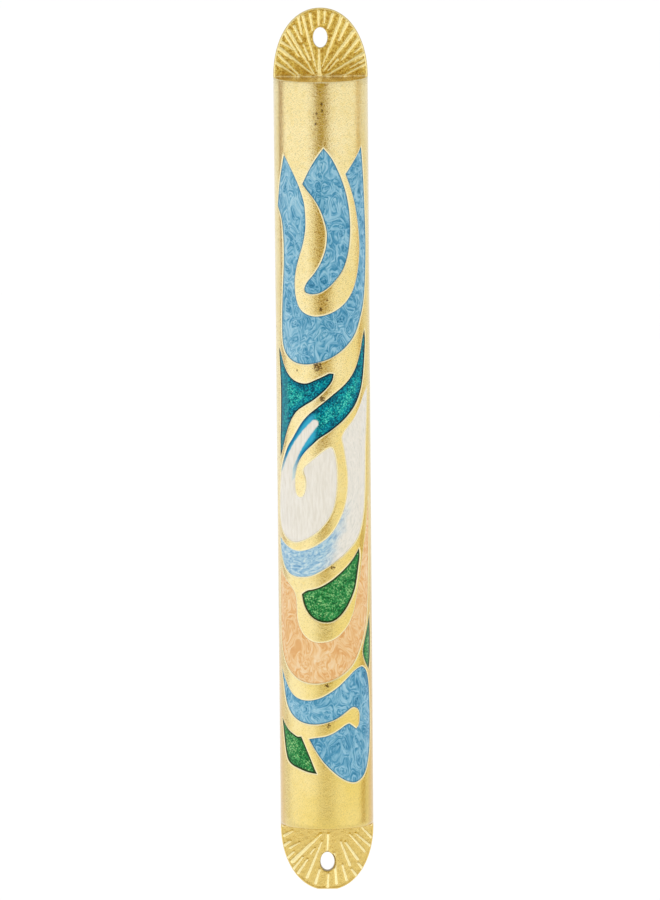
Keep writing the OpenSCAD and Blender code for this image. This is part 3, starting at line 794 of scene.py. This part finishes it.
def gold_material():
    p = Paint("gilt_casting")
    slow = p.noise(p.place, 0.09)
    cloud = p.noise(p.place, 0.7, 3, 0.6)
    grain = p.noise(p.place, 3.2, 2, 0.8)
    coarse = p.noise(p.place, 1.8, 3, 0.7)
    # the gilding is darker and yellower toward the lower end and toward the right; toward the right this is
    # painted shade
    low = (p.x * 8 - p.z).ramp(-55, 95)
    p.colour = p.mix(slow.ramp(0.35, 0.65) * 0.2 + low * 0.8, "#efe0ac", "#dec56a")
    p.coat(cloud.ramp(0.42, 0.7) * 0.25, "#dcc062")
    # painted reflection: deeper, darker gold along the crown of the arch, strongest above the middle
    crown = abs(p.s).ramp(3.4, 1.2)
    p.coat(crown * ((p.z.ramp(62, 48) - p.z.ramp(24, 14)) * 0.3 + 0.06), "#dbbb4c")
    # fine dark line of painted reflection near the upper left edge
    p.coat(abs(p.x + 8.7).ramp(0.3, 0.08) * p.z.ramp(40, 50) * 0.3, "#a87a28")
    # painted reflection: darker tan along both side edges, more toward the lower end
    p.coat(abs(p.x).ramp(8.5, 9.4) * p.z.ramp(10, -60) * 0.6, "#d2a75c")
    radius = (p.x ** 2 + (p.y + SIDE_D) ** 2) ** 0.5
    # the tabs: rays with a painted highlight on their tops and painted shadow beside them, on a mottled
    # ground, and the brown corner at the root of the upper one, painted light and shade on its end face
    tab = abs(p.z).ramp(BODY_Z - 0.1, BODY_Z + 0.1) * p.y.ramp(-1.9, -2)
    above, below = -p.y - TAB_T, p.z.ramp(60, -60)
    ground_and_shadow = p.mix(coarse.ramp(0.4, 0.6), "#caa347", "#efd676")
    ground_and_shadow = p.mix(below * 0.85, ground_and_shadow, "#ead080")
    # painted shadow along the flanks of the rays
    ground_and_shadow = p.mix((above.ramp(0.02, 0.06) - above.ramp(0.08, 0.16)) * 0.35, ground_and_shadow, "#9a6f22")
    # painted highlight on the tops of the rays
    ray_highlight = p.mix(below, "#fbeaa6", "#fdefb4")
    p.coat(tab, p.mix(above.ramp(0.08, 0.2), ground_and_shadow, ray_highlight))
    # painted light and shade on the end face under the root of the upper tab: pale, then ragged brown
    # blotches
    corner = (p.z - coarse).ramp(BODY_Z + 0.3, BODY_Z - 0.3) * p.z.ramp(BODY_Z - 0.9, BODY_Z - 0.6)
    face = radius.ramp(ARCH_R - 0.3, ARCH_R - 0.6) * corner * p.y.ramp(-1.9, -2)
    ragged_shade = p.noise(p.place, 0.55, 3, 0.65)
    p.coat(face * 0.5, "#fbe6a8")
    p.coat(face * ragged_shade.ramp(0.45, 0.6) * p.y.ramp(-8, -3) * 0.3, "#7d5220")
    # dark brown inside of the screw slots
    bore = ((p.x / (HOLE_R + 0.1)) ** 2 + ((abs(p.z) - HOLE_Z) / (HOLE_H / 2 + 0.1)) ** 2).ramp(1.1, 1)
    p.coat(bore * p.y.ramp(-1.9, -1.75) * 0.8, "#6b4a22")
    upper = p.z.ramp(-75, 10)
    speckle = (grain - 0.5) * (upper * 0.8 + 0.7) + upper * 0.025 + 0.985
    p.colour = p.mix(1, p.colour, p.xyz(speckle, speckle, speckle), "MULTIPLY")
    # dark grain pits, more toward the top and in patches along the crown
    crown_speckle = coarse.ramp(0.52, 0.66) * crown * p.z.ramp(-70, 40)
    pits = upper * 0.22 + crown * p.z.ramp(-10, 20) * 0.4 + crown_speckle * 0.5 + 0.06
    p.coat(grain.ramp(0.53, 0.6) * pits, "#94691f")
    # painted highlight: cream on the rounded gold edges beside the cells, made less metallic there so they
    # look brighter
    rim = p.attribute("edge_mm").ramp(0.38, 0.14)
    p.coat(rim * 0.75, "#fff6cc")
    spots = p.noise(p.place, 2.6, 2, 0.7)
    for s, z, reach in TARNISH:
        away = ((p.s - s) / reach) ** 2 + ((p.z - z) / (reach * 1.3)) ** 2
        p.coat((away * 0.3 + spots).ramp(0.64, 0.55) * 0.85, "#52341a")
    rough = cloud * 0.12 + 0.1 + tab * 0.12
    peel = p.bump(p.noise(p.place, 1.5), 0.04, 0.6)
    sand = p.bump(grain, 0.04, Normal=peel)
    return p.finish(Base_Color=p.colour, Metallic=-rim * 0.6 + 1, Roughness=rough, Normal=sand)


def cover_material():
    p = Paint("gilt_cover", Metallic=1)
    lines = p.noise(p.xyz(p.x * 7, p.y * 7, p.z * 0.05), 1)
    slow = p.noise(p.place, 0.12)
    p.colour = p.mix(lines.ramp(0.3, 0.7), "#dcbd6c", "#ecd28c")
    p.coat(slow.ramp(0.4, 0.7) * 0.3, "#d2b05c")
    return p.finish(Base_Color=p.colour, Roughness=lines * 0.2 + 0.2, Normal=p.bump(lines, 0.02, 0.6))


def parchment_material():
    p = Paint("parchment", Roughness=0.75)
    fibre = p.noise(p.xyz(p.x * 3, p.y * 3, p.z * 0.5), 1, 4, 0.65)
    spots = p.noise(p.place, 0.4, 3, 0.6)
    p.colour = p.mix(fibre.ramp(0.35, 0.7), "#d6b988", "#f0dcae")
    p.coat(spots.ramp(0.55, 0.8) * 0.5, "#bb9d6c")
    return p.finish(Base_Color=p.colour, Normal=p.bump(fibre, 0.04, 0.6))


def sleeve_material():
    p = Paint("clear_sleeve", IOR=1.46, Alpha=0.12, Roughness=0.06)
    haze = p.noise(p.place, 0.5)
    return p.finish(Base_Color=p.mix(haze, "#eef4f7", "#e2ecf1"), Normal=p.bump(haze, 0.05, 0.3))


def enamel_base(name, gloss=0.25):
    p = Paint(name, IOR=1.5, Specular_IOR_Level=gloss)
    p.flat = p.xyz(p.s, p.z)
    p.edge = p.attribute("edge_mm")
    return p


def enamel_finish(p):
    ripple = p.noise(p.flat, 0.8)
    return p.finish(Base_Color=p.colour, Roughness=ripple * 0.08 + 0.14, Normal=p.bump(ripple, 0.05, 0.5))


def pearl_strokes(p, pitch=0.28):
    """Whorls of fine curved strokes, as pearl powder leaves when it is stirred into wet enamel"""
    where = p.warp(p.warp(p.xyz(p.s, p.z * 0.7), 0.22, 2.4), 0.7, 0.5)
    dx, dz, far, chance = p.whorl(where, 0.38)
    turn = (chance - 0.5).op("SIGN")
    around = p.xyz(far * turn / pitch + chance * 37, dx / far * 0.8, dz / far * 0.8)
    stroke = p.noise(around, 1).ramp(0.34, 0.66)
    fine = p.noise(where, 2.2, 3, 0.7)
    patch = p.noise(where, 0.22)
    heart = far.ramp(1, 0.2) * chance.ramp(0.35, 0.5)
    return stroke, fine, patch, heart


def blue_material():
    p = enamel_base("enamel_blue")
    stroke, fine, patch, heart = pearl_strokes(p)
    tone = stroke * 0.42 + fine * 0.35 + patch * 0.45 - heart * 0.15 + p.s.ramp(-2, -7) * 0.08 - 0.2
    stops = [(0, "#12688f"), (0.22, "#3c8cb4"), (0.42, "#6cadcd"), (0.58, "#8ec3dd"), (0.8, "#b2daeb")]
    p.colour = p.shades(tone, stops)
    # painted shadow: darker blue along the walls of the cell
    p.coat(p.edge.ramp(0.34, 0.08) * 0.75, "#2b6f93")
    return enamel_finish(p)


def glitter_colour(p, dark, mid, light, spark):
    """Fine metallic flakes under clear enamel, crowded into soft clouds"""
    cloud = p.noise(p.flat, 0.3, 3, 0.6)
    level = p.flakes(p.flat, 4.4) * 0.75 + p.flakes(p.flat, 7) * 0.3 + cloud * 1.1 - 0.65
    # painted shade: darker within about a millimetre and a half of the walls
    level = level - p.edge.ramp(1.4, 0.3) * 0.16
    return p.shades(level, [(0.05, dark), (0.35, mid), (0.6, light), (0.85, spark)])


def teal_glitter(p):
    """Blue-green, greener and brighter away from the walls"""
    blue_green = glitter_colour(p, "#00425a", "#00728c", "#0099ac", "#2cc8c0")
    green = glitter_colour(p, "#004f64", "#00828e", "#00ada6", "#66ead2")
    place = p.noise(p.flat, 0.22) * 0.8 + p.edge.ramp(0.6, 2.2) * 0.5
    colour = p.mix(place.ramp(0.6, 1), blue_green, green)
    # painted shadow: near-black line along the walls
    return p.mix(p.edge.ramp(0.42, 0.22), colour, "#082f3c")


def teal_material():
    p = enamel_base("enamel_teal", 0.08)
    p.colour = teal_glitter(p)
    # the flakes thin out in the narrow strip along the left wall
    p.coat(p.s.ramp(-8.2, -8.9) * p.edge.ramp(0.2, 0.4) * 0.35, "#4a90a2")
    return enamel_finish(p)


def green_material():
    p = enamel_base("enamel_green", 0.15)
    p.colour = glitter_colour(p, "#075826", "#187e3a", "#40a65c", "#a6da90")
    # painted shadow: dark line along the walls
    p.coat(p.edge.ramp(0.48, 0.24), "#1f3a16")
    return enamel_finish(p)


def pearl_white(p):
    streak = p.noise(p.warp(p.xyz(p.s * 1.5, p.z * 0.25), 0.4, 0.6), 1.2, 3, 0.6)
    return p.mix(streak.ramp(0.3, 0.7), "#e6e2d8", "#f3f0e9")


def swirl_material():
    p = enamel_base("enamel_teal_to_pearl", 0.08)
    # the pearl white comes up the channel as a finger with a round tip, between two strips of clear blue
    ds, dz = p.s - TIP_S, p.z - TIP_Z
    along, across = ds * 0.69 + dz * 0.72, ds * 0.72 - dz * 0.69
    behind = along.negative()
    wobble = (p.noise(p.flat, 0.9) - 0.5) * 0.4
    beyond = (((across - behind ** 2 * 0.0122) ** 2 + along.positive() ** 2) ** 0.5
              - 0.78 + behind * 0.062 + wobble + (p.z + 2).negative() * 0.3)
    channel = (p.s - (p.z - 4) * 0.9).ramp(1.2, 0.2)
    beyond = beyond + (p.z - 6).negative() * (channel * -3 + 3)
    white_share = beyond.ramp(0.2, -0.2)
    blue_share = beyond.ramp(1.8, 0.7) * (along + across * 0.8).ramp(1, -1.2)
    # painted shade: the clear blue is darker along the walls
    blue = p.mix(p.edge.ramp(0.1, 0.9), "#0a6fa2", "#35add2")
    blue = p.mix(p.z.ramp(1.5, -4), blue, "#c9dcdc")
    p.colour = p.mix(blue_share, teal_glitter(p), blue)
    p.coat(white_share, pearl_white(p))
    return enamel_finish(p)


def crescent_material():
    p = enamel_base("enamel_pearl_to_blue")
    # the streaks follow the crescent, which is about a quarter of an oval
    across, up = (p.s + 7) / 18, p.z / 25
    around = p.xyz((across ** 2 + up ** 2) ** 0.5 * 34, across.op("ARCTAN2", -up) * 9)
    along = p.noise(p.warp(around, 0.45, 1.3), 1.7, 3, 0.7)
    blue = p.shades(along, [(0.32, "#6299c8"), (0.45, "#93bfdc"), (0.57, "#b9d9e8"), (0.7, "#e2eef0")])
    wobble = (p.noise(p.flat, 0.5) - 0.5) * 3
    below = (p.s - 2.1) * 0.945 - (p.z + 17.3) * 0.326 + wobble
    share = below.ramp(2.4, -1.6) * (p.z + 10).ramp(2, -3)
    white = p.shades(along, [(0.3, "#d9dad3"), (0.5, "#ece9e1"), (0.7, "#f4f1ea")])
    p.colour = p.mix(share, white, blue)
    return enamel_finish(p)


def peach_material():
    p = enamel_base("enamel_peach")
    stroke, fine, patch, heart = pearl_strokes(p, 0.32)
    tone = stroke * 0.5 + fine * 0.4 + patch * 0.4 - heart * 0.12 - 0.18
    stops = [(0, "#d99c58"), (0.25, "#e6b070"), (0.45, "#efc388"), (0.65, "#f4d09d"), (0.9, "#fbe8c8")]
    p.colour = p.shades(tone, stops)
    # painted shadow: darker orange along the walls
    p.coat(p.edge.ramp(0.25, 0.05) * 0.45, "#c9935a")
    return enamel_finish(p)


def floor_material():
    p = Paint("studio_floor", Roughness=0.8, Emission_Color=(1, 1, 1, 1), Emission_Strength=0.26)
    haze = p.noise(p.place, 0.002)
    return p.finish(Base_Color=p.mix(haze, "#f6f6f6", "#fbfbfb"))


def backdrop_material():
    return Paint("studio_backdrop", Base_Color=(0, 0, 0, 1), Roughness=1, Emission_Color=(1, 1, 1, 1),
                 Emission_Strength=1).mat


# ---- the object
outlines = {name: even_outline(runs, 0.22) for name, runs in CELLS.items()}
rims = [even_outline(runs, 0.05) for runs in CELLS.values()]
shell = build_shell(list(outlines.values()), tree_of(np.concatenate(rims)))
shell.data.materials.append(gold_material())
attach(shell, "shell")
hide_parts("front_shell")

blue, green = (blue_material(), "enamel_blue"), (green_material(), "enamel_green")
FILLS = {
    "enamel_blue_cup": blue, "enamel_blue_comma": blue, "enamel_blue_wave": blue,
    "enamel_green_leaf": green, "enamel_green_edge": green, "enamel_green_corner": green,
    "enamel_teal_leaf": (teal_material(), "enamel_teal"),
    "enamel_teal_swirl": (swirl_material(), "enamel_teal_to_pearl"),
    "enamel_pale_crescent": (crescent_material(), "enamel_pearl_to_blue"),
    "enamel_peach_cup": (peach_material(), "enamel_peach"),
}
for (name, outline), rim in zip(outlines.items(), rims):
    material, slot = FILLS[name]
    fill = build_enamel(name.replace("enamel_", "fill_"), outline, tree_of(rim))
    fill.data.materials.append(material)
    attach(fill, "shell")
    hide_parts(name)

cover = build_cover()
cover.data.materials.append(cover_material())
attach(cover, "cover")
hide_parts("rear_cover")

for piece, material, node, slot in [(build_scroll(), parchment_material(), "scroll", "parchment"),
                                    (build_sleeve(), sleeve_material(), "scroll_sleeve", "clear_sleeve")]:
    piece.data.materials.append(material)
    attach(piece, "shell")
    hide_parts(node)


# ---- studio
def card(name, centre, aim, width, height, material):
    """Flat rectangle that faces the point aim, in metres"""
    mesh = bpy.data.meshes.new(name)
    w, h = width / 2, height / 2
    mesh.from_pydata([(-w, -h, 0), (w, -h, 0), (w, h, 0), (-w, h, 0)], [], [(0, 1, 2, 3)])
    mesh.materials.append(material)
    obj = add_object(name, mesh)
    obj.location = centre
    obj.rotation_euler = (Vector(aim) - Vector(centre)).to_track_quat("Z", "Y").to_euler()
    return obj


def flag(name, centre, width, height, code):
    """Coloured card that only shows as a reflection in the gilding"""
    material = Paint(name, Roughness=0.9, Base_Color=code).mat
    obj = card(name, centre, (0, 0, centre[2]), width, height, material)
    obj.visible_camera = obj.visible_shadow = False


def around(azimuth, distance, z):
    """Place at an azimuth from the front of the object, in degrees, to the viewer's right"""
    a = radians(azimuth)
    return Vector((distance * sin(a), -distance * cos(a), z))


def panel(name, azimuth, watts):
    """Soft light beside the object"""
    data = bpy.data.lights.new(name, "AREA")
    data.shape = "RECTANGLE"
    data.size, data.size_y, data.energy = 1.1, 1.4, watts
    lamp = add_object(name, data)
    lamp.location = around(azimuth, 0.8, 0.05)
    lamp.rotation_euler = (-around(azimuth, 0.8, 0)).to_track_quat("-Z", "Z").to_euler()
    lamp.visible_camera = False


scene = bpy.context.scene
scene.view_settings.view_transform = "Standard"
world = bpy.data.worlds.new("studio")
world.use_nodes = True
sky = world.node_tree.nodes["Background"].inputs
sky["Color"].default_value, sky["Strength"].default_value = (1, 1, 1, 1), 0.82
scene.world = world

FLOOR_LEVEL, BACKDROP_TOP, BACKDROP_R, BACKDROP_SIDES = -0.6, 3, 7, 48
card("floor", (0, 0, FLOOR_LEVEL), (0, 0, 1), 60, 60, floor_material())
flag("flag_front", (0, -1.6, 0.58), 0.79, 1.54, "#c6a91c")
flag("flag_114", around(-113.5, 1.2, 0.5), 0.21, 1.5, "#a06e06")
flag("flag_104", around(104, 1.2, 0.1), 0.21, 1.5, "#c8a020")
wall = bpy.data.meshes.new("backdrop")
wall.from_pydata([(BACKDROP_R * cos(a), BACKDROP_R * sin(a), z)
                  for z in (FLOOR_LEVEL, BACKDROP_TOP) for a in circle(BACKDROP_SIDES)], [],
                 [((i + 1) % BACKDROP_SIDES, i, BACKDROP_SIDES + i, BACKDROP_SIDES + (i + 1) % BACKDROP_SIDES)
                  for i in range(BACKDROP_SIDES)])
wall.materials.append(backdrop_material())
backdrop = add_object("backdrop", wall)
backdrop.visible_diffuse = backdrop.visible_glossy = backdrop.visible_shadow = False
panel("light_left", -62, 0.9)
panel("light_right", 62, 0.7)

camera = add_object("camera", bpy.data.cameras.new("camera"))
scene.camera = camera
TILT, ROLL = radians(7.114), -0.0087
forward = Vector((0, cos(TILT), -sin(TILT)))
upward = Vector((0, sin(TILT), cos(TILT)))
right = cos(ROLL) * Vector((1, 0, 0)) + sin(ROLL) * upward
up = -sin(ROLL) * Vector((1, 0, 0)) + cos(ROLL) * upward
target = Vector((0.0013208, (shell_lo[1] + 7.4) * MM, 0.0012399))
turn = Matrix((right, up, -forward)).transposed().to_4x4()
camera.matrix_world = Matrix.Translation(target - forward) @ turn
camera.data.lens, camera.data.sensor_width = 187.8, 36
camera.data.clip_start, camera.data.clip_end = 0.01, 100
